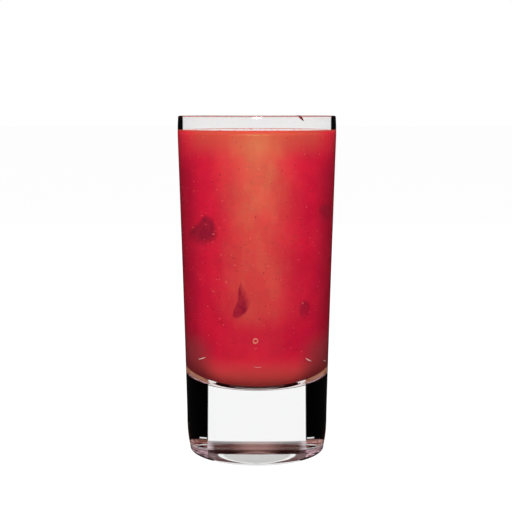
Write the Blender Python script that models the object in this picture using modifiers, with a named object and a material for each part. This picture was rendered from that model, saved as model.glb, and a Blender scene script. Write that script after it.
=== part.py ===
"""A bloody mary in its glass: a tall, thick-based tumbler, filled nearly to the rim.

Both pieces are turned about the Z axis. Z = 0 is the surface the foot stands on, and the
origin is the middle of the foot. The drink is a solid up to its level, and it keeps a small
gap to the glass all round. Units are metres.
"""

import math

import bmesh
import bpy

COLLECTION_NAME = "bloody_mary"

# Glass, outside: a narrow foot, a slow flare, and a mouth drawn in a little at the lip
GLASS_HEIGHT = 0.1466
FOOT_RADIUS = 0.0307
FLARE_START_HEIGHT = 0.0150
WIDEST_RADIUS = 0.03408
WIDEST_HEIGHT = 0.1390
FLARE_POWER = 1.12
MOUTH_RADIUS = 0.0338

# Glass, foot: a broad low heel, a flat ring to stand on, and a shallow dome under the base
HEEL_WIDTH = 0.0060
HEEL_HEIGHT = 0.0022
HEEL_POWER = 3.2
DRAFT_POWER = 2.5
HEEL_DRAFT = 0.0012
RING_WIDTH = 0.0090
DOME_DEPTH = 0.0013

# Glass, inside: a thin wall over a solid base
LIP_WALL = 0.0019
FLOOR_WALL = 0.0024
LIP_ROUNDING_HEIGHT = 0.0005
FLOOR_HEIGHT = 0.0310
FLOOR_CORNER = 0.0155
FLOOR_DIP = 0.0003

# Drink: its level, and the meniscus where it climbs the wall
DRINK_LEVEL = 0.1405
MENISCUS_HEIGHT = 0.0002
MENISCUS_WIDTH = 0.0022
GAP = 0.0003

# Fineness of the turned surfaces
SIDES = 72
WALL_STEPS = 9
ARC_STEPS = 6
MERGE_DISTANCE = 0.00001

# Finish: linear colour, roughness and metallic value
GLASS_COLOR = (0.95, 0.97, 0.97, 1.0)
GLASS_ROUGHNESS = 0.02
GLASS_IOR = 1.5
DRINK_COLOR = (0.60, 0.032, 0.036, 1.0)
DRINK_ROUGHNESS = 0.22


def spread(start, end, steps):
    """Evenly spaced values from start to end, both included."""
    return [start + (end - start) * i / steps for i in range(steps + 1)]


def outer_radius(height):
    """Radius of the outside wall: drafted at the heel, flared above it, drawn in at the mouth."""
    if height < FLARE_START_HEIGHT:
        drop = (FLARE_START_HEIGHT - height) / (FLARE_START_HEIGHT - HEEL_HEIGHT)
        return FOOT_RADIUS - HEEL_DRAFT * drop ** DRAFT_POWER
    if height < WIDEST_HEIGHT:
        rise = (height - FLARE_START_HEIGHT) / (WIDEST_HEIGHT - FLARE_START_HEIGHT)
        return FOOT_RADIUS + (WIDEST_RADIUS - FOOT_RADIUS) * rise ** FLARE_POWER
    rise = (height - WIDEST_HEIGHT) / (GLASS_HEIGHT - WIDEST_HEIGHT)
    return WIDEST_RADIUS + (MOUTH_RADIUS - WIDEST_RADIUS) * rise ** 2


def inner_radius(height):
    """Radius of the inside wall, which thickens from the lip down to the floor."""
    rise = (height - FLOOR_HEIGHT) / (GLASS_HEIGHT - FLOOR_HEIGHT)
    return outer_radius(height) - (FLOOR_WALL + (LIP_WALL - FLOOR_WALL) * rise)


def floor_profile(clearance):
    """The rounded floor of the hollow, from the axis out to the wall, raised by a clearance."""
    corner = FLOOR_CORNER - clearance
    corner_height = FLOOR_HEIGHT + FLOOR_CORNER
    flat_radius = inner_radius(corner_height) - FLOOR_CORNER
    points = []
    for share in spread(0.0, 1.0, 3)[:-1]:
        dip = FLOOR_DIP * (1.0 - share ** 2)
        points.append((flat_radius * share, FLOOR_HEIGHT + clearance - dip))
    for angle in spread(-math.pi / 2, 0.0, ARC_STEPS):
        points.append((flat_radius + corner * math.cos(angle), corner_height + corner * math.sin(angle)))
    return points


def lip_profile():
    """The fire-polished lip, a half ellipse from the inside wall over to the outside wall."""
    base_height = GLASS_HEIGHT - LIP_ROUNDING_HEIGHT
    inside = inner_radius(base_height)
    outside = outer_radius(base_height)
    middle = (inside + outside) / 2
    half_wall = (outside - inside) / 2
    return [
        (middle - half_wall * math.cos(angle), base_height + LIP_ROUNDING_HEIGHT * math.sin(angle))
        for angle in spread(0.0, math.pi, ARC_STEPS)
    ]


def foot_profile():
    """The heel, the flat ring and the dome under the base, from the outside wall to the axis."""
    side_radius = outer_radius(HEEL_HEIGHT)
    ring_outer = side_radius - HEEL_WIDTH
    ring_inner = ring_outer - RING_WIDTH
    points = []
    for angle in spread(0.0, math.pi / 2, ARC_STEPS):
        across = max(math.cos(angle), 0.0) ** (2 / HEEL_POWER)
        down = math.sin(angle) ** (2 / HEEL_POWER)
        points.append((ring_outer + HEEL_WIDTH * across, HEEL_HEIGHT * (1.0 - down)))
    for share in spread(1.0, 0.0, ARC_STEPS):
        points.append((ring_inner * share, DOME_DEPTH * (1.0 - share ** 2)))
    return points


def glass_profile():
    """Half section of the glass: floor, inside wall, lip, outside wall, foot."""
    wall_bottom = FLOOR_HEIGHT + FLOOR_CORNER
    wall_top = GLASS_HEIGHT - LIP_ROUNDING_HEIGHT
    inside = [(inner_radius(z), z) for z in spread(wall_bottom, wall_top, WALL_STEPS)[1:-1]]
    outside = [(outer_radius(z), z) for z in spread(wall_top, HEEL_HEIGHT, WALL_STEPS + 3)[1:-1]]
    return floor_profile(0.0) + inside + lip_profile() + outside + foot_profile()


def drink_profile():
    """Half section of the drink: surface, meniscus, side against the wall, rounded bottom."""
    edge_radius = inner_radius(DRINK_LEVEL) - GAP
    points = [(0.0, DRINK_LEVEL), (edge_radius / 2, DRINK_LEVEL)]
    for share in spread(0.0, 1.0, ARC_STEPS):
        climb = MENISCUS_HEIGHT * share ** 3
        radius = edge_radius - MENISCUS_WIDTH * (1.0 - share)
        points.append((radius, DRINK_LEVEL + climb))
    wall_bottom = FLOOR_HEIGHT + FLOOR_CORNER
    side = [(inner_radius(z) - GAP, z) for z in spread(DRINK_LEVEL, wall_bottom, WALL_STEPS)[1:-1]]
    return points + side + floor_profile(GAP)[::-1]


def principled(name, color, roughness):
    """A plain Principled material with no metal in it."""
    material = bpy.data.materials.new(name)
    material.use_nodes = True
    shader = material.node_tree.nodes["Principled BSDF"]
    shader.inputs["Base Color"].default_value = color
    shader.inputs["Roughness"].default_value = roughness
    shader.inputs["Metallic"].default_value = 0.0
    return material


def glass_material():
    """Clear, polished soda-lime glass."""
    material = principled("glass", GLASS_COLOR, GLASS_ROUGHNESS)
    shader = material.node_tree.nodes["Principled BSDF"]
    shader.inputs["Transmission Weight"].default_value = 1.0
    shader.inputs["IOR"].default_value = GLASS_IOR
    return material


def turned(name, profile, material, collection):
    """A solid of revolution: the half section as a chain of edges, turned by a Screw modifier."""
    section = bmesh.new()
    points = [section.verts.new((radius, 0.0, height)) for radius, height in profile]
    for first, second in zip(points, points[1:]):
        section.edges.new((first, second))
    mesh = bpy.data.meshes.new(name)
    section.to_mesh(mesh)
    section.free()
    mesh.materials.append(material)
    piece = bpy.data.objects.new(name, mesh)
    screw = piece.modifiers.new("turn", "SCREW")
    screw.axis = "Z"
    screw.angle = 2 * math.pi
    screw.steps = SIDES
    screw.render_steps = SIDES
    screw.use_merge_vertices = True
    screw.merge_threshold = MERGE_DISTANCE
    screw.use_smooth_shade = True
    collection.objects.link(piece)
    return piece


def main():
    for leftover in list(bpy.data.objects):
        bpy.data.objects.remove(leftover, do_unlink=True)
    collection = bpy.data.collections.new(COLLECTION_NAME)
    bpy.context.scene.collection.children.link(collection)
    turned("glass", glass_profile(), glass_material(), collection)
    drink_finish = principled("drink", DRINK_COLOR, DRINK_ROUGHNESS)
    turned("drink", drink_profile(), drink_finish, collection)


main()
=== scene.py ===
"""The looks of a bloody mary in its glass: refracting glass whose dark edges of a bright
field are painted shade in its tint, the drink with its ice and pulp against the wall, with
painted light and shade in its color, and a pale studio. Units are metres, Z is up, and the
glass stands on Z = 0 with its axis on the Z axis.
"""

import math
import random

import bmesh
import bpy
from mathutils import Matrix, Vector


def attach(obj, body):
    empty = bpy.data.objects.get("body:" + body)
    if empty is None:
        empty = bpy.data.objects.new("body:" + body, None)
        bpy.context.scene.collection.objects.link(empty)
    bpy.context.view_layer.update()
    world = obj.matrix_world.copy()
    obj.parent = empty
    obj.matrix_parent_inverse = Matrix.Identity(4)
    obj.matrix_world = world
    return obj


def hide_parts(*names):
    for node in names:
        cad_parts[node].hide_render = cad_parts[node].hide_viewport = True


BODY = "root"
SEED = 41

# Glass, outside: a narrow foot, a slow flare, and a mouth drawn in a little at the lip
GLASS_HEIGHT = 0.1466
FOOT_RADIUS = 0.0307
FLARE_START_HEIGHT = 0.0150
WIDEST_RADIUS = 0.03408
WIDEST_HEIGHT = 0.1390
FLARE_POWER = 1.12
MOUTH_RADIUS = 0.0338

# Glass, foot: a broad low heel, a flat ring to stand on, and a shallow dome under the base
HEEL_WIDTH = 0.0060
HEEL_HEIGHT = 0.0022
HEEL_POWER = 3.2
DRAFT_POWER = 2.5
HEEL_DRAFT = 0.0012
RING_WIDTH = 0.0090
RING_MARGIN = 0.0001
DOME_DEPTH = 0.0013

# Glass, inside: a thin wall over a solid base
LIP_WALL = 0.0019
FLOOR_WALL = 0.0024
LIP_ROUNDING_HEIGHT = 0.0005
FLOOR_HEIGHT = 0.0310
FLOOR_CORNER = 0.0155
FLOOR_DIP = 0.0003

# Drink: its level, its meniscus, how far it bites into the wall, and how far pieces stand off it
DRINK_LEVEL = 0.1405
MENISCUS_HEIGHT = 0.0002
MENISCUS_WIDTH = 0.0022
BITE = 0.00012
PROUD = 0.00006

# Fineness of the turned surfaces
SIDES = 256
WALL_STEPS = 40
ARC_STEPS = 14

# Directions and plain colors; every color is linear
UP = (0.0, 0.0, 1.0)
FLAT = (1.0, 1.0, 0.0)
WHITE = (1.0, 1.0, 1.0, 1.0)
BLACK = (0.0, 0.0, 0.0, 1.0)

# Refraction, and the strength of the drink's gleam, a gloss whose share is a painted highlight
GLASS_IOR = 1.51
DRINK_IOR = 1.34
GLEAM = 0.085

# Where light that leaves the glass too far to the side of the axis finds no lit studio; there the
# glass's tint is painted dark, a painted shade
BASE_WINDOW = 0.0209
MOUTH_WINDOW = 0.0318
WINDOW_BLUR = 0.0002
WINDOW_STEP = (0.1362, 0.1365)

# Painted light and shade in the glass: painted shade above the heel, painted glints, painted dark
# arcs and corners, painted light on the lip and a painted reflection low in the heel. A pair says
# where a mark has faded out, and then where it is full
BLACK_HEIGHTS = (HEEL_HEIGHT - 0.0004, HEEL_HEIGHT)
GLINT_HEIGHT = 0.0025
GLINT_OFFSET = 0.0229
GLINT_ALOFT = (0.0003, 0.0001)
GLINT_ACROSS = (0.0018, 0.0013)
ARC_HEIGHTS = (0.0020, 0.0014)
ARC_INNER_SIDE = (0.0176, 0.0190)
ARC_OUTER_SIDE = (0.0272, 0.0262)
CORNER_HEIGHTS = (0.1425, 0.1435)
CORNER_SIDE = (0.0318, 0.0322)
BRIM_HEIGHTS = (GLASS_HEIGHT - 0.0004, GLASS_HEIGHT - 0.0002)
BRIM_SIDE = (0.0322, 0.0318)
HEEL_REFLECTION_HEIGHTS = (HEEL_HEIGHT - 0.0003, HEEL_HEIGHT - 0.0008)
HEEL_REFLECTION_SIDE = (BASE_WINDOW + 0.0006, BASE_WINDOW)
HEEL_REFLECTION_MIDDLE = (0.0130, 0.0020)
HEEL_REFLECTION_ENDS = (0.0176, 0.0204)

# The painted reflection low in the heel and the painted light on the lip show in a level view
# only, by how steeply they are seen
LEVEL_VIEW = (0.32, 0.20)

# The lens of the dome, which is narrower toward the sides as they are seen: clear at its edge,
# and greyed in the middle by painted shade
LENS_RADIUS = 0.0190
LENS_NARROWING = 0.0080
LENS_EDGE = (-0.0003, 0.0003)
LENS_MIDDLE = (0.0010, 0.0022)

# Bands of the drink's color, by height, and by how far to the side they are seen, as a share:
# brighter near the floor, a painted orange light in the top band, and painted shade that makes the
# sides crimson in the top band, dim below it and brown low down. Those to the side follow the
# viewer round the glass
FLOOR_BAND = (0.048, 0.036)
TOP_BAND = (0.1270, DRINK_LEVEL)
BELOW_SURFACE = (DRINK_LEVEL - 0.0001, DRINK_LEVEL - 0.0006)
CRIMSON_ASIDE = (0.48, 0.66)
DIM_HEIGHTS = (0.132, 0.120)
DIM_ASIDE = (0.50, 0.66)
BROWN_HEIGHTS = (0.058, 0.046)
BROWN_ASIDE = (0.36, 0.60)
# Where the painted peach highlights show, by how far to the side they are seen
WARM_ASIDE = (0.56, 0.62)

# The tall streak of light down the middle of the drink as it is seen, which follows the viewer:
# a painted highlight that sets the share of the drink's gloss
STREAK_FOOT = (0.056, 0.068)
STREAK_RISE = (0.095, 0.128)
STREAK_TOP = (DRINK_LEVEL, 0.133)
STREAK_ASIDE = (0.50, 0.12)

# Ice against the wall. An outline is azimuths in degrees from the front and heights. The film of
# drink over a block thickens toward its soft side, between two shares of its reach, and over its
# rounded edge, and is nowhere thinner than the least share. The rings of a block's body are
# shares of its outline and of its depth.
ICE = [
    {
        "outline": [
            (-71, 0.0950), (-62, 0.0996), (-47, 0.1046), (-40, 0.1080), (-32, 0.1046),
            (-28, 0.0985), (-33, 0.0940), (-45, 0.0915), (-60, 0.0905),
        ],
        "soft_side": (-0.25, -0.97), "film": (-0.05, 0.95), "thinnest": 0.08,
        "edge": 0.0034, "depth": 0.011,
    },
    {
        "outline": [
            (-12.6, 0.0796), (-9.8, 0.0770), (-7.2, 0.0735), (-3.8, 0.0703), (-6.0, 0.0668),
            (-11.5, 0.0638), (-16.0, 0.0628), (-20.2, 0.0632), (-19.6, 0.0656), (-17.4, 0.0686),
            (-15.6, 0.0728), (-14.2, 0.0770),
        ],
        "soft_side": (0.90, 0.30), "film": (0.0, 1.15), "thinnest": 0.12,
        "edge": 0.0016, "depth": 0.009,
    },
    {
        "outline": [
            (50, 0.1090), (60, 0.1112), (74, 0.1100), (79, 0.1046), (66, 0.1018), (54, 0.1028),
        ],
        "soft_side": (-0.7, -0.7), "film": (-0.2, 1.0), "thinnest": 0.26,
        "edge": 0.0030, "depth": 0.008,
    },
    {
        "outline": [
            (34, 0.0699), (42, 0.0714), (48, 0.0675), (47.5, 0.0615), (41, 0.0595), (33, 0.0648),
        ],
        "soft_side": (0.5, -0.86), "film": (-0.4, 0.9), "thinnest": 0.36,
        "edge": 0.0024, "depth": 0.008,
    },
]
ICE_MIDDLE_HEIGHT = 0.09
ICE_RINGS = 16
ICE_SAMPLES = 96
ICE_CORNER_CUTS = 2
ICE_BODY = ((0.92, 0.5), (0.6, 1.0))

# Pulp and pepper: half widths, how far they are stretched, and the rings of a lump, which are
# shares of its size and how many thicknesses they stand off the wall
FLECK_COUNT = 800
FLECK_SIZES = (0.00010, 0.00012, 0.00015, 0.00020)
FLECK_STRETCH = 2.0
PEPPER_COUNT = 320
PEPPER_SIZES = (0.00010, 0.00013, 0.00016, 0.00021)
PEPPER_STRETCH = 2.4
SPECK_THICKNESS = 0.00003
SPECK_HEIGHTS = (FLOOR_HEIGHT + 0.016, DRINK_LEVEL - 0.0015)
LUMP_RINGS = ((0.6, 0.8), (1.0, 0.0), (0.8, -1.2))
LUMP_WOBBLE = (0.82, 1.18)

# Flecks seen one by one: azimuth, height, half length and half width
NAMED_THICKNESS = 0.00005
NAMED_FLECKS = [
    (-24.1, 0.0784, 0.00055, 0.00040), (-41.7, 0.1380, 0.0004, 0.0003),
    (0.4, 0.1228, 0.00045, 0.0003), (-34.6, 0.0981, 0.0007, 0.00028),
    (7.2, 0.0908, 0.0004, 0.0003), (-3.4, 0.0937, 0.00035, 0.0003),
    (8.8, 0.0854, 0.0004, 0.0003), (38.2, 0.0690, 0.0005, 0.00035),
    (-34.9, 0.0738, 0.0004, 0.0003), (-26.2, 0.1120, 0.0004, 0.0003),
    (-7.7, 0.1089, 0.0004, 0.00028),
]

# Bubbles: azimuth, height, radius and thickness. Painted highlights at the floor's corner, as thin
# pale pieces: both ends, their sag and thickness
RINGED_BUBBLES = [(-1.2, 0.0540, 0.0009, 0.00026)]
CORNER_HIGHLIGHTS = [
    ((-55.2, 0.0438), (-46.1, 0.0454), 0.0002, 0.00018),
    ((42.8, 0.0452), (50.0, 0.0434), 0.0002, 0.00018),
    ((-3.0, 0.0432), (4.0, 0.0430), 0.0003, 0.00006),
    ((70.0, 0.0415), (78.0, 0.0400), -0.0006, 0.00015),
]
TUBE_TIP = 0.25
TUBE_FLATNESS = 0.35

# Froth on the surface
FROTH_COUNT = 150
FROTH_SIZES = (0.00012, 0.00018, 0.00024, 0.00032)
FROTH_MARGIN = 0.0010
FROTH_SUNK = 0.55

# A drip of drink on the lip, between two azimuths
DRIP_START = 29.5
DRIP_END = 34.0
DRIP_LENGTH = 0.0021
DRIP_WIDTH = 0.0011
DRIP_PROUD = 0.00005

# Floor, and the shaded patch under the foot
FLOOR_SIZE = 12.0
FLOOR_DROP = 0.0002
CONTACT_RADIUS = 0.0235
CONTACT_BLUR = 0.0008

# Studio: its light as seen through the glass, as a fill, in gloss and overhead
THROUGH_GLASS_LIGHT = 0.93
FILL_LIGHT = 0.13
GLOSS_LIGHT = 0.01
OVERHEAD_LIGHT = 0.02
OVERHEAD = (0.80, 0.92)
FLOOR_LIGHT = 0.97
FLOOR_THROUGH_GLASS_LIGHT = 0.87

# Lamps: name, place, aim, size, power in watts, and whether gloss mirrors it
LAMPS = [
    ("key", (0.0, -0.25, 0.20), (0.0, 0.0, 0.12), (0.05, 0.05), 0.29, True),
    ("front_fill", (0.0, -0.9, 0.45), (0.0, 0.0, 0.07), (1.6, 0.5), 3.9, False),
    ("left_fill", (-0.45, -0.22, 0.42), (0.0, 0.0, 0.12), (0.3, 0.3), 2.1, False),
    ("right_fill", (0.45, -0.22, 0.42), (0.0, 0.0, 0.12), (0.3, 0.3), 1.9, False),
    ("back_fill", (0.0, 0.9, 0.45), (0.0, 0.0, 0.07), (1.6, 0.5), 7.0, False),
]

# Camera, as fitted to the photograph, and how often light bounces
CAMERA_DISTANCE = 0.524
CAMERA_ABOVE_RIM = 0.00194
CAMERA_SIDEWAYS = -0.0004
CAMERA_PITCH = 6.82
CAMERA_LENS = 85.2
SENSOR = 36.0
BOUNCES = 24
GLOSSY_BOUNCES = 12


def spread(start, end, steps):
    """Evenly spaced values from start to end, both included."""
    return [start + (end - start) * i / steps for i in range(steps + 1)]


def ease(share):
    """Smooth step of a share, kept between 0 and 1."""
    share = min(max(share, 0.0), 1.0)
    return share * share * (3.0 - 2.0 * share)


def outer_radius(height):
    """Radius of the outside wall: drafted at the heel, flared above it, drawn in at the mouth."""
    if height < FLARE_START_HEIGHT:
        drop = (FLARE_START_HEIGHT - height) / (FLARE_START_HEIGHT - HEEL_HEIGHT)
        return FOOT_RADIUS - HEEL_DRAFT * drop ** DRAFT_POWER
    if height < WIDEST_HEIGHT:
        rise = (height - FLARE_START_HEIGHT) / (WIDEST_HEIGHT - FLARE_START_HEIGHT)
        return FOOT_RADIUS + (WIDEST_RADIUS - FOOT_RADIUS) * rise ** FLARE_POWER
    rise = (height - WIDEST_HEIGHT) / (GLASS_HEIGHT - WIDEST_HEIGHT)
    return WIDEST_RADIUS + (MOUTH_RADIUS - WIDEST_RADIUS) * rise ** 2


def inner_radius(height):
    """Radius of the inside wall, which thickens from the lip down to the floor."""
    rise = (height - FLOOR_HEIGHT) / (GLASS_HEIGHT - FLOOR_HEIGHT)
    return outer_radius(height) - (FLOOR_WALL + (LIP_WALL - FLOOR_WALL) * rise)


def floor_profile(clearance):
    """The rounded floor of the hollow, from the axis out to the wall, raised by a clearance."""
    corner = FLOOR_CORNER - clearance
    corner_height = FLOOR_HEIGHT + FLOOR_CORNER
    flat_radius = inner_radius(corner_height) - FLOOR_CORNER
    points = []
    for share in spread(0.0, 1.0, ARC_STEPS)[:-1]:
        dip = FLOOR_DIP * (1.0 - share ** 2)
        points.append((flat_radius * share, FLOOR_HEIGHT + clearance - dip))
    for angle in spread(-math.pi / 2, 0.0, ARC_STEPS):
        points.append((flat_radius + corner * math.cos(angle), corner_height + corner * math.sin(angle)))
    return points


def lip_profile():
    """The fire-polished lip, a half ellipse from the inside wall over to the outside wall."""
    base_height = GLASS_HEIGHT - LIP_ROUNDING_HEIGHT
    inside = inner_radius(base_height)
    outside = outer_radius(base_height)
    middle = (inside + outside) / 2
    half_wall = (outside - inside) / 2
    return [
        (middle - half_wall * math.cos(angle), base_height + LIP_ROUNDING_HEIGHT * math.sin(angle))
        for angle in spread(0.0, math.pi, 2 * ARC_STEPS)
    ]


def foot_profile():
    """The heel, the flat ring and the dome under the base, from the outside wall to the axis."""
    ring_outer = outer_radius(HEEL_HEIGHT) - HEEL_WIDTH
    ring_inner = ring_outer - RING_WIDTH
    points = []
    for angle in spread(0.0, math.pi / 2, ARC_STEPS):
        across = max(math.cos(angle), 0.0) ** (2 / HEEL_POWER)
        down = math.sin(angle) ** (2 / HEEL_POWER)
        points.append((ring_outer + HEEL_WIDTH * across, HEEL_HEIGHT * (1.0 - down)))
    for share in spread(1.0, 0.0, 2 * ARC_STEPS):
        points.append((ring_inner * share, DOME_DEPTH * (1.0 - share ** 2)))
    return points


def glass_profile():
    """Half section of the glass: floor, inside wall, lip, outside wall, foot."""
    wall_bottom = FLOOR_HEIGHT + FLOOR_CORNER
    wall_top = GLASS_HEIGHT - LIP_ROUNDING_HEIGHT
    inside = [(inner_radius(z), z) for z in spread(wall_bottom, wall_top, WALL_STEPS)[1:-1]]
    outside = [(outer_radius(z), z) for z in spread(wall_top, HEEL_HEIGHT, WALL_STEPS)[1:-1]]
    return floor_profile(0.0) + inside + lip_profile() + outside + foot_profile()


def surface_profile():
    """The drink's free surface, from the axis out and up the meniscus to the wall."""
    flat_radius = inner_radius(DRINK_LEVEL) + BITE - MENISCUS_WIDTH
    points = [(flat_radius * share, DRINK_LEVEL) for share in spread(0.0, 1.0, WALL_STEPS)[:-1]]
    for share in spread(0.0, 1.0, ARC_STEPS):
        points.append((flat_radius + MENISCUS_WIDTH * share, DRINK_LEVEL + MENISCUS_HEIGHT * share ** 3))
    return points


def side_profile():
    """The drink's side and bottom, which bite a little into the glass, from the top down."""
    top = DRINK_LEVEL + MENISCUS_HEIGHT
    wall_bottom = FLOOR_HEIGHT + FLOOR_CORNER
    side = [(inner_radius(z) + BITE, z) for z in spread(top, wall_bottom, WALL_STEPS)[:-1]]
    return side + floor_profile(-BITE)[::-1]


def side_radius(height):
    """Radius of the drink's side, which rounds in at the floor."""
    corner_top = FLOOR_HEIGHT + FLOOR_CORNER
    if height >= corner_top:
        return inner_radius(height) + BITE
    drop = min((corner_top - height) / FLOOR_CORNER, 1.0)
    flat_radius = inner_radius(corner_top) - FLOOR_CORNER
    return flat_radius + FLOOR_CORNER * math.sqrt(1.0 - drop * drop) + BITE


def turned_point(azimuth, radius, height):
    """A point round the axis; azimuth is in degrees from the front, to the right."""
    turn = math.radians(azimuth)
    return Vector((radius * math.sin(turn), -radius * math.cos(turn), height))


def wall_point(azimuth, height, inset=0.0):
    """A point just proud of the drink's side, or sunk behind it by an inset."""
    return turned_point(azimuth, side_radius(height) + PROUD - inset, height)


def turned(profile, finish_of_row):
    """A closed solid of revolution from a half section whose two ends lie on the axis."""
    bm = bmesh.new()
    turn = [2 * math.pi * side / SIDES for side in range(SIDES)]
    rings = []
    for radius, height in profile:
        angles = turn if radius else [0.0]
        rings.append([bm.verts.new((radius * math.cos(a), radius * math.sin(a), height)) for a in angles])
    for row, (above, below) in enumerate(zip(rings, rings[1:])):
        for side in range(SIDES):
            other = (side + 1) % SIDES
            corners = [above[side % len(above)], below[side % len(below)]]
            corners += [below[other % len(below)], above[other % len(above)]]
            face = bm.faces.new(list(dict.fromkeys(corners)))
            face.smooth = True
            face.material_index = finish_of_row(row)
    bmesh.ops.recalc_face_normals(bm, faces=bm.faces)
    return bm


def add_object(name, bm, materials):
    """The modelled form as an object in the scene, with its materials."""
    mesh = bpy.data.meshes.new(name)
    bm.to_mesh(mesh)
    bm.free()
    for material in materials:
        mesh.materials.append(material)
    piece = bpy.data.objects.new(name, mesh)
    bpy.context.scene.collection.objects.link(piece)
    return piece


def add_dressing(name, bm, material):
    """A piece that dresses the drink: smooth, and carried by the object."""
    bmesh.ops.recalc_face_normals(bm, faces=bm.faces)
    for face in bm.faces:
        face.smooth = True
    piece = add_object(name, bm, [material])
    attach(piece, BODY)


class Graph:
    """The nodes of a material or of the world, with short calls for adding and joining them."""

    def __init__(self, owner, output="ShaderNodeOutputMaterial"):
        owner.use_nodes = True
        self.owner = owner
        self.tree = owner.node_tree
        self.tree.nodes.clear()
        self.output = self.add(output)

    def add(self, kind, inputs=None, **settings):
        """A node with its settings; inputs maps a socket's name or number to a value or a socket."""
        node = self.tree.nodes.new(kind)
        for key, value in settings.items():
            setattr(node, key, value)
        for key, value in (inputs or {}).items():
            if isinstance(value, bpy.types.NodeSocket):
                self.tree.links.new(value, node.inputs[key])
            else:
                node.inputs[key].default_value = value
        return node

    def shader(self, kind, inputs):
        """A shader of a kind, such as Diffuse or Glossy."""
        return self.add("ShaderNodeBsdf" + kind, inputs).outputs[0]

    def math(self, operation, first, second=0.0, clamp=False):
        node = self.add("ShaderNodeMath", {0: first, 1: second}, operation=operation, use_clamp=clamp)
        return node.outputs[0]

    def product(self, first, *others):
        """All the values multiplied."""
        for other in others:
            first = self.math("MULTIPLY", first, other)
        return first

    def vector(self, operation, first, second=(0.0, 0.0, 0.0)):
        """A vector worked out from one or two others."""
        return self.add("ShaderNodeVectorMath", {0: first, 1: second}, operation=operation).outputs[0]

    def ease(self, value, span, start=0.0, end=1.0):
        """Smooth step of a value over a span, from a start to an end."""
        inputs = {"Value": value, "From Min": span[0], "From Max": span[1], "To Min": start, "To Max": end}
        return self.add("ShaderNodeMapRange", inputs, interpolation_type="SMOOTHSTEP").outputs["Result"]

    def switch(self, flag, off, on):
        """One of two values, by a flag that is 0 or 1."""
        return self.ease(flag, (0.0, 1.0), off, on)

    def mix_color(self, share, first, second):
        return self.add("ShaderNodeMix", {0: share, 6: first, 7: second}, data_type="RGBA").outputs[2]

    def mix_shader(self, share, first, second):
        return self.add("ShaderNodeMixShader", {0: share, 1: first, 2: second}).outputs[0]

    def noise(self, vector, scale, detail=3.0, roughness=0.5):
        inputs = {"Vector": vector, "Scale": scale, "Detail": detail, "Roughness": roughness}
        return self.add("ShaderNodeTexNoise", inputs).outputs["Fac"]

    def bump(self, height, distance, strength):
        inputs = {"Height": height, "Distance": distance, "Strength": strength}
        return self.add("ShaderNodeBump", inputs).outputs["Normal"]

    def place(self):
        """Where the shaded point lies on the object."""
        return self.add("ShaderNodeTexCoord").outputs["Object"]

    def height(self):
        return self.add("ShaderNodeSeparateXYZ", {0: self.place()}).outputs["Z"]

    def around(self):
        """The direction round the axis, along the wall."""
        return self.vector("CROSS_PRODUCT", self.place(), UP)

    def distance_from_axis(self):
        flat = self.vector("MULTIPLY", self.place(), FLAT)
        return self.add("ShaderNodeVectorMath", {0: flat}, operation="LENGTH").outputs["Value"]

    def sideways_share(self, direction):
        """How far the view runs along a direction: 0 square to it, 1 along it."""
        unit = self.vector("NORMALIZE", direction)
        facing = self.add("ShaderNodeLayerWeight", {"Blend": 0.5, "Normal": unit}).outputs["Facing"]
        return self.math("SUBTRACT", 1.0, facing)

    def finish(self, shader):
        """Joins the shader to the output, and gives the material or world."""
        self.tree.links.new(shader, self.output.inputs["Surface"])
        return self.owner


def material_graph(name):
    """The nodes of a new material."""
    return Graph(bpy.data.materials.new(name))


def light_passes(g, clear, through_color):
    """The glass for what looks at it, and a plain tint for the light that shines on what is behind it."""
    through = g.shader("Transparent", {"Color": through_color})
    path = g.add("ShaderNodeLightPath").outputs
    lighting = g.math("MAXIMUM", path["Is Shadow Ray"], path["Is Diffuse Ray"])
    return g.mix_shader(lighting, clear, through)


def glass_tint(g, sideways, offset, height, mottle, behind):
    """Clear where the studio shines through, and painted dark where light would come from too far
    aside: painted shade. Low in the heel it is a mottled painted reflection of the drink, with painted
    glints, and painted dark arcs and corners lie on the near side.
    """
    widest = g.ease(height, WINDOW_STEP, BASE_WINDOW, MOUTH_WINDOW)
    # Painted shade: the share where the tint turns dark
    lost = g.ease(g.math("SUBTRACT", offset, widest), (-WINDOW_BLUR, WINDOW_BLUR))
    # Painted glints: white dashes where the heel begins
    across = g.math("ABSOLUTE", g.math("SUBTRACT", offset, GLINT_OFFSET))
    aloft = g.math("ABSOLUTE", g.math("SUBTRACT", height, GLINT_HEIGHT))
    glint = g.product(g.ease(across, GLINT_ACROSS), g.ease(aloft, GLINT_ALOFT))
    # Painted reflection of the drink, mottled red and peach, in the heel; painted black above it
    heel = g.mix_color(mottle, (0.20, 0.070, 0.052, 1.0), (0.62, 0.36, 0.33, 1.0))
    edge = g.mix_color(g.ease(height, BLACK_HEIGHTS), heel, BLACK)
    edge = g.mix_color(glint, edge, (0.9, 0.9, 0.9, 1.0))
    tint = g.mix_color(g.product(lost, behind), (0.996, 0.998, 0.998, 1.0), edge)
    # Painted shade: dark arcs low in the foot and dark corners at the lip, on the near side
    arc = g.product(g.ease(height, ARC_HEIGHTS), g.ease(sideways, ARC_INNER_SIDE))
    arc = g.product(arc, g.ease(sideways, ARC_OUTER_SIDE))
    corner = g.product(g.ease(height, CORNER_HEIGHTS), g.ease(sideways, CORNER_SIDE))
    dark = g.product(g.math("MAXIMUM", arc, corner), g.math("SUBTRACT", 1.0, behind))
    return g.mix_color(dark, tint, (0.03, 0.015, 0.015, 1.0))


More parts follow.
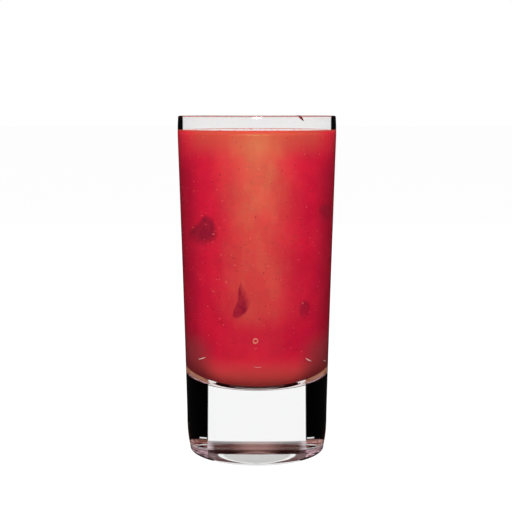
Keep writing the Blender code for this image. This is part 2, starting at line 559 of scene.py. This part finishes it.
def polished(g, tint):
    """Polished glass: what it bends, tinted, and what it mirrors."""
    normal = g.bump(g.noise(g.place(), 40.0, 0.0), 0.00002, 0.1)
    bent = g.shader("Refraction", {"Color": tint, "Roughness": 0.0, "IOR": GLASS_IOR, "Normal": normal})
    mirror_color = (0.998, 0.998, 0.998, 1.0)
    mirrored = g.shader("Glossy", {"Color": mirror_color, "Roughness": 0.0, "Normal": normal})
    fresnel = g.add("ShaderNodeFresnel", {"IOR": GLASS_IOR, "Normal": normal}).outputs[0]
    return g.mix_shader(fresnel, bent, mirrored)


def painted_heel_reflection_color(g, offset, mottle):
    """A painted reflection of the drink in a band low in the heel: lighter in the middle, pale at its
    ends.
    """
    painted_heel_reflection = g.mix_color(g.ease(offset, HEEL_REFLECTION_MIDDLE), (0.10, 0.060, 0.056, 1.0), (0.36, 0.22, 0.20, 1.0))
    ends = g.product(g.ease(offset, HEEL_REFLECTION_ENDS), g.ease(mottle, (0.0, 1.0), 0.5, 1.0))
    return g.mix_color(ends, painted_heel_reflection, (0.66, 0.54, 0.58, 1.0))


def glass_material():
    """Clear glass in a bright field: its thick edges are painted dark, a painted shade where it bends
    light far aside, with a painted reflection low in the heel and painted light on the lip.
    """
    g = material_graph("clear_glass")
    surface = g.add("ShaderNodeNewGeometry").outputs
    behind = surface["Backfacing"]
    along = g.vector("CROSS_PRODUCT", surface["Normal"], UP)
    sideways = g.product(g.sideways_share(along), g.distance_from_axis())
    offset = g.product(sideways, GLASS_IOR)
    height = g.height()
    mottle = g.ease(g.noise(g.place(), 420.0, 3.0, 0.6), (0.40, 0.62))
    clear = polished(g, glass_tint(g, sideways, offset, height, mottle, behind))
    level_view = g.ease(g.sideways_share(UP), LEVEL_VIEW)
    # Painted reflection of the drink low in the heel, in place of the dark tint, in a level view
    painted_heel_reflection = g.shader("Diffuse", {"Color": painted_heel_reflection_color(g, offset, mottle)})
    band = g.product(g.ease(height, HEEL_REFLECTION_HEIGHTS, 0.0, 0.75), behind, level_view)
    clear = g.mix_shader(g.product(band, g.ease(offset, HEEL_REFLECTION_SIDE)), clear, painted_heel_reflection)
    # Painted light on the lip: a pale diffuse tone at the outline, in place of the dark tint, in a level
    # view
    pale = g.shader("Diffuse", {"Color": (0.42, 0.37, 0.33, 1.0)})
    brim = g.product(g.ease(height, BRIM_HEIGHTS), g.ease(sideways, BRIM_SIDE, 0.0, 0.5), level_view)
    clear = g.mix_shader(brim, clear, pale)
    return g.finish(light_passes(g, clear, (0.96, 0.97, 0.97, 1.0)))


def foot_material():
    """The underside: a ring to stand on, dark against the floor, tinted as a painted reflection of the
    drink, paler in the middle and darker toward the sides as seen by painted shade, with a mottled
    painted reflection where it is seen far aside; and a shallow dome greyed in the middle by painted
    shade.
    """
    g = material_graph("foot_glass")
    sideways = g.sideways_share(g.around())
    away = g.distance_from_axis()
    streaks = g.noise(g.place(), 350.0)
    # Painted reflection of the drink in the ring, pale in the middle and darker to the sides as seen:
    # painted shade
    ring = g.mix_color(g.ease(sideways, (0.0, 0.4)), (0.62, 0.56, 0.54, 1.0), (0.14, 0.065, 0.062, 1.0))
    ring = g.mix_color(g.ease(sideways, (0.6, 0.9)), ring, (0.20, 0.13, 0.135, 1.0))
    ring = g.mix_color(g.ease(streaks, (0.52, 0.72)), ring, (0.40, 0.30, 0.29, 1.0))
    # The dome's lens, narrower to the sides as seen, greyed in the middle by painted shade
    inside = g.math("SUBTRACT", LENS_RADIUS, g.product(sideways, LENS_NARROWING))
    inside = g.math("SUBTRACT", inside, away)
    dome = g.mix_color(g.ease(inside, LENS_MIDDLE), (0.97, 0.97, 0.96, 1.0), (0.66, 0.66, 0.65, 1.0))
    tint = g.mix_color(g.ease(inside, LENS_EDGE), ring, dome)
    relief = g.bump(streaks, 0.0003, 0.3)
    clear = g.shader("Glass", {"Color": tint, "Roughness": 0.05, "IOR": GLASS_IOR, "Normal": relief})
    # Painted reflection of the drink, mottled dark and pink, where the ring is seen far aside
    painted_foot_mottle = g.mix_color(g.ease(streaks, (0.44, 0.58)), (0.06, 0.03, 0.03, 1.0), (0.84, 0.56, 0.63, 1.0))
    painted_foot_reflection = g.shader("Diffuse", {"Color": painted_foot_mottle})
    offset = g.product(sideways, away, GLASS_IOR)
    aside = g.ease(offset, (BASE_WINDOW - WINDOW_BLUR, BASE_WINDOW + WINDOW_BLUR), 0.0, 0.8)
    return g.finish(light_passes(g, g.mix_shader(aside, clear, painted_foot_reflection), (0.6, 0.6, 0.6, 1.0)))


def drink_color(g):
    """Tomato red with pulp clouds and wisps, with painted light and shade: painted orange light at
    the top, and painted shade that makes the sides crimson, dim and, low down, brown.

    The sides are those of the outline as seen, so what lies there follows the viewer. Gives the
    color, the grain for relief, and the share of the tall streak of light, a painted highlight.
    """
    place = g.place()
    height = g.height()
    aside = g.sideways_share(g.around())
    clouds = g.ease(g.noise(place, 90.0, 4.0, 0.6), (0.35, 0.7))
    grains = g.ease(g.noise(place, 1100.0, 3.0, 0.7), (0.40, 0.75))
    hanging = g.vector("MULTIPLY", place, (130.0, 130.0, 60.0))
    wisps = g.ease(g.noise(hanging, 1.0, 4.0, 0.6), (0.36, 0.70))
    lying = g.vector("MULTIPLY", place, (420.0, 420.0, 1300.0))
    shreds = g.ease(g.noise(lying, 1.0, 2.0, 0.5), (0.62, 0.72))
    color = g.mix_color(clouds, (0.57, 0.006, 0.037, 1.0), (0.66, 0.009, 0.042, 1.0))
    color = g.mix_color(g.product(wisps, 0.10), color, (0.72, 0.030, 0.045, 1.0))
    color = g.mix_color(g.product(grains, 0.20), color, (0.74, 0.026, 0.044, 1.0))
    color = g.mix_color(g.product(shreds, 0.5), color, (0.34, 0.006, 0.026, 1.0))
    color = g.mix_color(g.ease(height, FLOOR_BAND), color, (1.0, 0.085, 0.085, 1.0))
    # Painted light and shade: orange light in the top band, crimson shade at its sides as seen
    crimson = g.product(g.ease(aside, CRIMSON_ASIDE), g.ease(height, BELOW_SURFACE))
    orange = g.mix_color(crimson, (0.58, 0.066, 0.047, 1.0), (0.74, 0.026, 0.048, 1.0))
    color = g.mix_color(g.ease(height, TOP_BAND), color, orange)
    # Painted shade: dim at the sides below the top band, and darker low at the sides, as seen
    dim = g.product(g.ease(aside, DIM_ASIDE), g.ease(height, DIM_HEIGHTS, 0.0, 0.34))
    color = g.mix_color(dim, color, (0.16, 0.004, 0.016, 1.0))
    brown = g.product(g.ease(aside, BROWN_ASIDE), g.ease(height, BROWN_HEIGHTS, 0.0, 0.75))
    color = g.mix_color(brown, color, (0.31, 0.038, 0.044, 1.0))
    # Painted highlight: the tall streak, strongest in the middle as seen
    tall = g.math("ADD", g.ease(height, STREAK_FOOT, 0.22, 0.95), g.ease(height, STREAK_RISE, 0.0, 0.30))
    streak = g.product(tall, g.ease(height, STREAK_TOP, 0.40, 1.0), g.ease(aside, STREAK_ASIDE, 0.08, 1.0))
    return color, grains, g.product(streak, g.ease(wisps, (0.0, 1.0), 0.84, 1.16))


def wall_shader(g, color, grains, streak):
    """Drink behind glass: a soft red body, a tall warm gleam set by a painted highlight, total
    reflection at a graze darkened toward the outline by painted shade, and painted peach highlights
    low at the sides.
    """
    body = g.shader("Principled", {
        "Base Color": color,
        "Roughness": 0.6,
        "Specular IOR Level": 0.0,
        "Subsurface Weight": 0.35,
        "Subsurface Radius": (1.0, 0.25, 0.15),
        "Subsurface Scale": 0.001,
        "Normal": g.bump(grains, 0.0001, 0.3),
    })
    # Real gloss, mixed in by the share of the painted highlight
    gleam = g.shader("Glossy", {"Color": (0.45, 1.0, 0.28, 1.0), "Roughness": 0.40})
    body = g.mix_shader(g.product(streak, GLEAM), body, gleam)
    facing = g.add("ShaderNodeLayerWeight", {"Blend": 0.5}).outputs["Facing"]
    # Painted shade: the reflection at a graze darkens toward the outline
    tint = g.mix_color(g.ease(facing, (0.80, 0.90)), (0.97, 0.92, 0.91, 1.0), (0.10, 0.035, 0.03, 1.0))
    mirror = g.shader("Glossy", {"Color": tint, "Roughness": 0.03})
    # Painted peach highlights at the sides as seen, as a rough warm gloss turned outward
    outward = g.vector("NORMALIZE", g.vector("MULTIPLY", g.place(), FLAT))
    warm = g.shader("Glossy", {"Color": (1.0, 0.64, 0.46, 1.0), "Roughness": 0.9, "Normal": outward})
    at_side = g.product(g.ease(g.sideways_share(g.around()), WARM_ASIDE), g.ease(facing, (0.74, 0.66)))
    mirror = g.mix_shader(at_side, mirror, warm)
    critical = 1.0 - math.sqrt(1.0 - (DRINK_IOR / GLASS_IOR) ** 2)
    return g.mix_shader(g.ease(facing, (critical - 0.02, critical + 0.02)), body, mirror)


def drink_side_material():
    """The drink where it lies against the glass."""
    g = material_graph("drink_side")
    return g.finish(wall_shader(g, *drink_color(g)))


def drink_surface_material():
    """The wet free surface, with pulp and froth just under it."""
    g = material_graph("drink_surface")
    froth = g.ease(g.noise(g.place(), 260.0, 5.0, 0.7), (0.52, 0.66))
    return g.finish(g.shader("Principled", {
        "Base Color": g.mix_color(g.product(froth, 0.35), drink_color(g)[0], (0.80, 0.20, 0.11, 1.0)),
        "Roughness": g.ease(froth, (0.0, 1.0), 0.01, 0.05),
        "IOR": DRINK_IOR,
        "Subsurface Weight": 0.5,
        "Subsurface Radius": (1.0, 0.25, 0.15),
        "Subsurface Scale": 0.002,
        "Normal": g.bump(g.noise(g.place(), 60.0), 0.00003, 0.3),
    }))


def ice_material():
    """Ice under a film of drink: dark crimson where the film is thin, drink red where it is thick."""
    g = material_graph("sunken_ice")
    color, grains, streak = drink_color(g)
    film = g.add("ShaderNodeAttribute", attribute_name="film").outputs["Fac"]
    cracks = g.ease(g.noise(g.place(), 300.0, 4.0, 0.6), (0.45, 0.7))
    uneven = g.ease(g.noise(g.place(), 330.0, 3.0, 0.6), (0.3, 0.7), -0.16, 0.16)
    film = g.math("ADD", film, g.product(uneven, g.ease(film, (1.0, 0.7))), clamp=True)
    dark = g.mix_color(cracks, (0.27, 0.009, 0.028, 1.0), (0.36, 0.014, 0.034, 1.0))
    return g.finish(wall_shader(g, g.mix_color(film, dark, color), grains, g.product(streak, film)))


def mottled(name, noise, contrast, colors, relief, finish):
    """A small piece's material: two colors mixed by a noise, which also gives the relief."""
    g = material_graph(name)
    tone = g.ease(g.noise(g.place(), *noise), contrast)
    looks = {"Base Color": g.mix_color(tone, *colors), "Normal": g.bump(tone, *relief)}
    return g.finish(g.shader("Principled", {**looks, **finish}))


def fleck_material():
    """Shreds of tomato flesh and fine bubbles, from orange to pale pink."""
    colors = (0.66, 0.05, 0.05, 1.0), (0.78, 0.17, 0.12, 1.0)
    finish = {"Roughness": 0.55, "Specular IOR Level": 0.1}
    return mottled("pulp", (700.0, 1.0), (0.35, 0.65), colors, (0.0001, 0.4), finish)


def pepper_material():
    """Specks of pepper behind a film of drink."""
    colors = (0.20, 0.006, 0.014, 1.0), (0.34, 0.010, 0.022, 1.0)
    finish = {"Roughness": 0.6, "Specular IOR Level": 0.1}
    return mottled("pepper", (900.0, 2.0), (0.4, 0.6), colors, (0.0001, 0.5), finish)


def bubble_material():
    """A bubble's rim: thin air at the wall with much of the red behind it."""
    colors = (0.66, 0.13, 0.085, 1.0), (0.80, 0.33, 0.23, 1.0)
    return mottled("bubble_rim", (1200.0, 2.0), (0.35, 0.65), colors, (0.00005, 0.3), {"Roughness": 0.3})


def corner_highlight_material():
    """A painted highlight at the floor's corner: a pale gleam with a little of the red behind it."""
    colors = (0.88, 0.48, 0.42, 1.0), (0.97, 0.86, 0.82, 1.0)
    return mottled("painted_corner_highlight", (1200.0, 2.0), (0.35, 0.65), colors, (0.00005, 0.3), {"Roughness": 0.3})


def froth_material():
    """Bubbles of the drink itself, a little paler than it."""
    colors = (0.70, 0.075, 0.05, 1.0), (0.82, 0.22, 0.14, 1.0)
    finish = {"Roughness": 0.12, "IOR": DRINK_IOR}
    return mottled("froth", (500.0, 2.0), (0.35, 0.65), colors, (0.00005, 0.3), finish)


def drip_material():
    """Drink that has dried dark."""
    colors = (0.10, 0.006, 0.008, 1.0), (0.20, 0.012, 0.014, 1.0)
    return mottled("dried_drip", (1500.0, 3.0), (0.4, 0.65), colors, (0.0001, 0.5), {"Roughness": 0.35})


def floor_material():
    """A pale light table, with a faint soft shadow on it and none of its light under the foot."""
    g = material_graph("pale_floor")
    patch_edge = (CONTACT_RADIUS - CONTACT_BLUR, CONTACT_RADIUS + CONTACT_BLUR)
    open_floor = g.ease(g.distance_from_axis(), patch_edge)
    light = g.mix_color(open_floor, (0.05, 0.045, 0.042, 1.0), WHITE)
    seen_bare = g.add("ShaderNodeLightPath").outputs["Is Camera Ray"]
    strength = g.switch(seen_bare, FLOOR_THROUGH_GLASS_LIGHT, FLOOR_LIGHT)
    glow = g.add("ShaderNodeEmission", {"Color": light, "Strength": strength}).outputs[0]
    matte = g.shader("Diffuse", {"Color": g.mix_color(0.9, light, BLACK)})
    return g.finish(g.add("ShaderNodeAddShader", {0: glow, 1: matte}).outputs[0])


def make_glass():
    """The tumbler, with a finish of its own under the foot."""
    profile = glass_profile()
    ring_edge = outer_radius(HEEL_HEIGHT) - HEEL_WIDTH + RING_MARGIN

    def finish_of_row(row):
        radii, heights = zip(*profile[row:row + 2])
        return int(max(heights) < HEEL_HEIGHT and max(radii) < ring_edge)

    piece = add_object("tumbler", turned(profile, finish_of_row), [glass_material(), foot_material()])
    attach(piece, BODY)
    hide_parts("glass")


def make_drink():
    """The drink, with one finish on its free surface and one where it lies against the glass."""
    surface = surface_profile()
    form = turned(surface + side_profile()[1:], lambda row: int(row >= len(surface) - 1))
    piece = add_object("tomato_drink", form, [drink_surface_material(), drink_side_material()])
    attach(piece, BODY)
    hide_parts("drink")


def rounded_outline(outline):
    """A closed outline with softened corners, resampled evenly."""
    points = [Vector(point) for point in outline]
    for _ in range(ICE_CORNER_CUTS):
        cut = []
        for first, second in zip(points, points[1:] + points[:1]):
            cut += [first.lerp(second, 0.25), first.lerp(second, 0.75)]
        points = cut
    lengths = [(b - a).length for a, b in zip(points, points[1:] + points[:1])]
    step = sum(lengths) / ICE_SAMPLES
    result = []
    at, index = 0.0, 0
    for sample in range(ICE_SAMPLES):
        while at + lengths[index] < sample * step and index < len(points) - 1:
            at += lengths[index]
            index += 1
        share = min((sample * step - at) / lengths[index], 1.0)
        result.append(points[index].lerp(points[(index + 1) % len(points)], share))
    return result


def add_ice_block(bm, film_layer, block):
    """A block that shows one face at the wall, under its film of drink, and reaches inward."""
    scale = inner_radius(ICE_MIDDLE_HEIGHT) * math.pi / 180
    loop = rounded_outline([(azimuth * scale, height) for azimuth, height in block["outline"]])
    centre = sum(loop, Vector((0.0, 0.0))) / len(loop)
    soft = Vector(block["soft_side"]).normalized()
    reach = max((point - centre).dot(soft) for point in loop)
    low, high = block["film"]

    def add_point(at, inset, to_edge):
        vert = bm.verts.new(wall_point(at.x / scale, at.y, inset))
        sunken = ease(((at - centre).dot(soft) / reach - low) / (high - low))
        rounded = ease(1.0 - to_edge / block["edge"])
        vert[film_layer] = max(sunken, rounded, block["thinnest"])
        return vert

    def add_ring(share, inset):
        inner = [(centre.lerp(point, share), point) for point in loop]
        return [add_point(at, inset, (point - at).length) for at, point in inner]

    rings = [add_ring((i + 1) / ICE_RINGS, 0.0) for i in range(ICE_RINGS)]
    rings += [add_ring(share, block["depth"] * deep) for share, deep in ICE_BODY]
    hub = add_point(centre, 0.0, block["edge"])
    for side in range(ICE_SAMPLES):
        other = (side + 1) % ICE_SAMPLES
        bm.faces.new((hub, rings[0][side], rings[0][other]))
        for near, far in zip(rings, rings[1:]):
            bm.faces.new((near[side], far[side], far[other], near[other]))
        bm.edges.get((rings[ICE_RINGS - 1][side], rings[ICE_RINGS - 1][other])).smooth = False
    bm.faces.new(rings[-1])


def make_ice():
    """Blocks of ice sunk in the drink."""
    bm = bmesh.new()
    film_layer = bm.verts.layers.float.new("film")
    for block in ICE:
        add_ice_block(bm, film_layer, block)
    add_dressing("sunken_ice", bm, ice_material())


def add_lump(bm, azimuth, height, size, thickness, turn, sides=8):
    """A small lens-shaped lump on the drink's side: size is its half length and half width."""
    outward = Matrix.Rotation(math.radians(azimuth), 3, "Z")
    spin = Matrix.Rotation(turn, 3, "Y")
    start = wall_point(azimuth, height)
    top = bm.verts.new(start + outward @ Vector((0.0, -thickness, 0.0)))
    rings = []
    for share, rise in LUMP_RINGS:
        lift = Vector((0.0, -thickness * rise, 0.0))
        ring = []
        for side in range(sides):
            angle = 2 * math.pi * side / sides
            wobble = random.uniform(*LUMP_WOBBLE)
            along = math.cos(angle) * size[0] * wobble
            across = math.sin(angle) * size[1] * wobble
            flat = Vector((along, 0.0, across)) * share
            ring.append(bm.verts.new(start + outward @ (spin @ flat + lift)))
        rings.append(ring)
    for side in range(sides):
        other = (side + 1) % sides
        bm.faces.new((top, rings[0][other], rings[0][side]))
        for near, far in zip(rings, rings[1:]):
            bm.faces.new((near[side], near[other], far[other], far[side]))
    bm.faces.new(rings[-1])


def scatter_lumps(bm, count, sizes, stretch):
    """Small lumps all round the wall, a little denser toward the top."""
    low, high = SPECK_HEIGHTS
    for _ in range(count):
        height = low + (high - low) * random.random() ** 0.8
        half = random.choice(sizes)
        size = (half * random.uniform(1.0, stretch), half)
        azimuth = random.uniform(-180, 180)
        add_lump(bm, azimuth, height, size, SPECK_THICKNESS, random.uniform(0, math.pi))


def make_flecks():
    """Pulp and fine bubbles at the wall, with the largest where they are seen."""
    bm = bmesh.new()
    scatter_lumps(bm, FLECK_COUNT, FLECK_SIZES, FLECK_STRETCH)
    for azimuth, height, long, half in NAMED_FLECKS:
        add_lump(bm, azimuth, height, (long, half), NAMED_THICKNESS, random.uniform(-0.4, 0.4), 12)
    add_dressing("pulp_flecks", bm, fleck_material())


def make_pepper():
    """Dark specks all round the wall."""
    bm = bmesh.new()
    scatter_lumps(bm, PEPPER_COUNT, PEPPER_SIZES, PEPPER_STRETCH)
    add_dressing("pepper_specks", bm, pepper_material())


def add_tube(bm, path, radius, sides=8, closed=False):
    """A thin tube along points; its ends are tapered when it isn't closed."""
    rings = []
    count = len(path)
    for index, point in enumerate(path):
        before = path[index - 1] if closed or index else point
        after = path[(index + 1) % count] if closed or index < count - 1 else point
        along = (after - before).normalized()
        outward = Vector((point.x, point.y, 0.0)).normalized()
        across = along.cross(outward).normalized()
        taper = TUBE_TIP + (1.0 - TUBE_TIP) * math.sin(math.pi * index / (count - 1))
        share = 1.0 if closed else taper
        ring = []
        for side in range(sides):
            angle = 2 * math.pi * side / sides
            offset = outward * math.cos(angle) * TUBE_FLATNESS + across * math.sin(angle)
            ring.append(bm.verts.new(point + offset * radius * share))
        rings.append(ring)
    pairs = list(zip(rings, rings[1:])) + ([(rings[-1], rings[0])] if closed else [])
    for near, far in pairs:
        for side in range(sides):
            other = (side + 1) % sides
            bm.faces.new((near[side], near[other], far[other], far[side]))
    if not closed:
        bm.faces.new(rings[0])
        bm.faces.new(rings[-1])


def make_bubbles():
    """Ringed bubbles against the wall."""
    bm = bmesh.new()
    for azimuth, height, radius, thickness in RINGED_BUBBLES:
        path = []
        for turn in spread(0.0, 2 * math.pi, 20)[:-1]:
            across = radius * math.cos(turn) / side_radius(height)
            path.append(wall_point(azimuth + math.degrees(across), height + radius * math.sin(turn)))
        add_tube(bm, path, thickness, closed=True)
    add_dressing("wall_bubbles", bm, bubble_material())


def make_corner_highlights():
    """Painted highlights low down, at the floor's corner, as thin pale pieces."""
    bm = bmesh.new()
    for start, end, sag, thickness in CORNER_HIGHLIGHTS:
        path = []
        for share in spread(0.0, 1.0, 8):
            azimuth = start[0] + (end[0] - start[0]) * share
            height = start[1] + (end[1] - start[1]) * share - sag * math.sin(math.pi * share)
            path.append(wall_point(azimuth, height))
        add_tube(bm, path, thickness)
    add_dressing("painted_corner_highlights", bm, corner_highlight_material())


def make_froth():
    """Small bubbles on the free surface, most of them gathered at the wall."""
    bm = bmesh.new()
    wall = inner_radius(DRINK_LEVEL)
    for _ in range(FROTH_COUNT):
        radius = random.choice(FROTH_SIZES)
        away = (wall - FROTH_MARGIN - radius) * (1.0 - 0.9 * random.random() ** 3.2)
        turn = random.uniform(0, 2 * math.pi)
        climb = MENISCUS_HEIGHT * max(0.0, 1.0 - (wall - away) / MENISCUS_WIDTH) ** 3
        height = DRINK_LEVEL + climb - radius * FROTH_SUNK
        matrix = Matrix.Translation((away * math.cos(turn), away * math.sin(turn), height))
        bmesh.ops.create_icosphere(bm, subdivisions=2, radius=radius, matrix=matrix)
    add_dressing("surface_froth", bm, froth_material())


def make_drip():
    """A dark drip of drink that has dried on the lip and run a little way down outside it."""
    bm = bmesh.new()
    path = []
    for share in spread(0.0, 1.0, 12):
        azimuth = DRIP_START + (DRIP_END - DRIP_START) * share
        height = GLASS_HEIGHT + DRIP_PROUD - DRIP_LENGTH * share ** 1.6
        drop = max(GLASS_HEIGHT - height, 0.0)
        inward = (1.0 - min(drop / LIP_ROUNDING_HEIGHT, 1.0)) ** 2
        path.append(turned_point(azimuth, outer_radius(GLASS_HEIGHT) - LIP_WALL / 2 * inward, height))
    add_tube(bm, path, DRIP_WIDTH / 2, 12)
    add_dressing("rim_drip", bm, drip_material())


def make_floor():
    """The light table, seen by the camera and through the glass only."""
    bm = bmesh.new()
    below = Matrix.Translation((0.0, 0.0, -FLOOR_DROP))
    bmesh.ops.create_grid(bm, x_segments=1, y_segments=1, size=FLOOR_SIZE, matrix=below)
    floor = add_object("floor", bm, [floor_material()])
    floor.visible_diffuse = False
    floor.visible_glossy = False


def make_world():
    """White for what the camera and the glass see, a dim fill, and hardly any reflection."""
    g = Graph(bpy.data.worlds.new("studio"), "ShaderNodeOutputWorld")
    path = g.add("ShaderNodeLightPath").outputs
    direction = g.add("ShaderNodeTexCoord").outputs["Generated"]
    upward = g.add("ShaderNodeSeparateXYZ", {0: direction}).outputs["Z"]
    white = g.switch(path["Is Camera Ray"], THROUGH_GLASS_LIGHT, 1.0)
    seen_light = g.ease(upward, OVERHEAD, white, OVERHEAD_LIGHT)
    unseen_light = g.switch(path["Is Glossy Ray"], FILL_LIGHT, GLOSS_LIGHT)
    seen = g.math("MAXIMUM", path["Is Camera Ray"], path["Is Transmission Ray"])
    strength = g.switch(seen, unseen_light, seen_light)
    background = g.add("ShaderNodeBackground", {"Color": WHITE, "Strength": strength})
    bpy.context.scene.world = g.finish(background.outputs[0])


def make_lamp(name, place, aim, size, power, mirrored):
    """A soft rectangular lamp, hidden from the camera and from light that the glass bends."""
    lamp = bpy.data.lights.new(name, "AREA")
    lamp.shape = "RECTANGLE"
    lamp.size, lamp.size_y = size
    lamp.energy = power
    holder = bpy.data.objects.new(name, lamp)
    holder.location = place
    holder.rotation_euler = (Vector(aim) - Vector(place)).to_track_quat("-Z", "Y").to_euler()
    holder.visible_camera = False
    holder.visible_transmission = False
    holder.visible_glossy = mirrored
    bpy.context.scene.collection.objects.link(holder)


def make_camera():
    """A camera in front of the glass, from just above the rim and pitched down a little."""
    data = bpy.data.cameras.new("camera")
    data.sensor_width = SENSOR
    data.lens = CAMERA_LENS
    camera = bpy.data.objects.new("camera", data)
    camera.location = (CAMERA_SIDEWAYS, -CAMERA_DISTANCE, GLASS_HEIGHT + CAMERA_ABOVE_RIM)
    camera.rotation_euler = (math.radians(90.0 - CAMERA_PITCH), 0.0, 0.0)
    bpy.context.scene.collection.objects.link(camera)
    bpy.context.scene.camera = camera


def set_render():
    """True colors, and enough bounces for light to cross the thick glass."""
    scene = bpy.context.scene
    scene.view_settings.view_transform = "Standard"
    scene.cycles.max_bounces = BOUNCES
    scene.cycles.transmission_bounces = BOUNCES
    scene.cycles.transparent_max_bounces = BOUNCES
    scene.cycles.glossy_bounces = GLOSSY_BOUNCES


def main():
    random.seed(SEED)
    make_camera()
    make_glass()
    make_drink()
    make_ice()
    make_flecks()
    make_pepper()
    make_bubbles()
    make_corner_highlights()
    make_froth()
    make_drip()
    make_floor()
    make_world()
    for lamp in LAMPS:
        make_lamp(*lamp)
    set_render()


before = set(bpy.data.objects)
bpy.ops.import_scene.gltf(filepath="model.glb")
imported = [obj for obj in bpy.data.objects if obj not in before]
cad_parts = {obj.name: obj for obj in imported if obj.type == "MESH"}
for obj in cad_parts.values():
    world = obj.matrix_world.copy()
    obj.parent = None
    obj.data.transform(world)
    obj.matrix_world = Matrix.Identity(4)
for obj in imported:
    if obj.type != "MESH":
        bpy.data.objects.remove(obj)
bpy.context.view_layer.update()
main()
